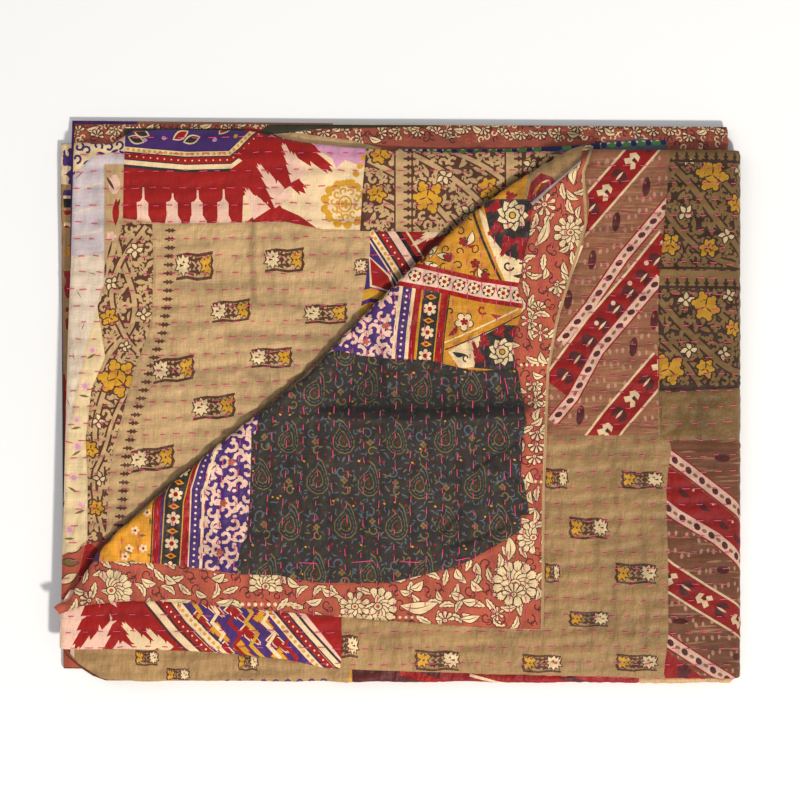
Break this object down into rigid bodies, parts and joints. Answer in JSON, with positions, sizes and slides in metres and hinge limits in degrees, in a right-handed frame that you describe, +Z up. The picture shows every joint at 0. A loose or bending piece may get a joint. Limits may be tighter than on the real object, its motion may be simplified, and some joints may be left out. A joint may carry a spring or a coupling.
{
  "type": "quilted throw",
  "caption": "Patchwork quilted throw of printed cloth, folded into a flat rectangular pack with the top corner of its first layer turned down.",
  "frame": {"origin": "under the middle of the folded pack, on the surface it rests on", "axes": "+X towards the half fold, +Y towards the edge with the free hem, +Z up"},
  "size_m": [0.6018, 0.4978, 0.0348],
  "materials": {
    "patchwork": "printed cotton and silk patchwork with rows of running stitch"
  },
  "bodies": {
    "root": {"quilt": "patchwork"}
  },
  "joints": []
}
